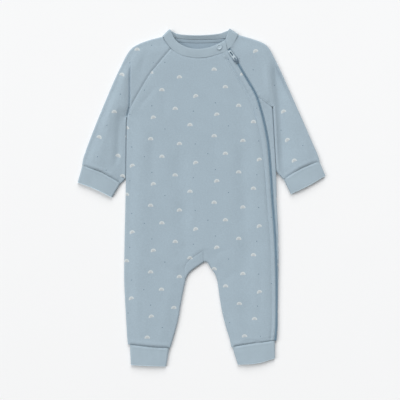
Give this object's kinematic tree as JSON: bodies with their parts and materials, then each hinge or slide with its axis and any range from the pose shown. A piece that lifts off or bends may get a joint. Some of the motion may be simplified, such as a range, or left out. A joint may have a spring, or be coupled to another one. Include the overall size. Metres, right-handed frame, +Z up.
{
  "type": "footless baby sleepsuit",
  "caption": "Footless baby sleepsuit laid flat, with raglan sleeves, rib cuffs, a rib neckband and a closed zip that runs from the neck to one leg.",
  "frame": {"origin": "middle of the laid garment's outline, on the surface that it lies on", "axes": "+Y towards the neck, +X towards the wearer's left sleeve, +Z up out of the front"},
  "size_m": [0.4458, 0.6078, 0.0125],
  "materials": {
    "printed_knit": "matte single jersey, grey blue with a small two-colour print",
    "rib_knit": "matte fine rib",
    "zip_tape": "woven tape, slate blue",
    "zip_coil": "nylon coil, slate blue",
    "zip_metal": "pale blue enamel, satin",
    "snap": "pale blue, slightly glossy"
  },
  "bodies": {
    "garment": {"front_body": "printed_knit", "crotch_gusset": "printed_knit", "side_strip": "printed_knit", "back_body": "printed_knit", "sleeve_right": "printed_knit", "sleeve_left": "printed_knit", "cuff_sleeve_right": "rib_knit", "cuff_sleeve_left": "rib_knit", "cuff_leg_right": "rib_knit", "cuff_leg_left": "rib_knit", "neckband": "rib_knit", "neck_tape": "rib_knit", "zip_tape_front": "zip_tape", "zip_tape_side": "zip_tape", "zip_coil": "zip_coil", "zip_slider": "zip_metal", "snap_cap": "snap"},
    "pull_tab": {"zip_pull": "zip_metal"}
  },
  "joints": [
    {"name": "pull_tab_hinge", "type": "hinge", "parent": "garment", "child": "pull_tab", "pos_m": [0.06166, 0.24663, 0.01065], "axis": [0.8102, 0.5861, 0], "range_deg": [0, 175]}
  ]
}
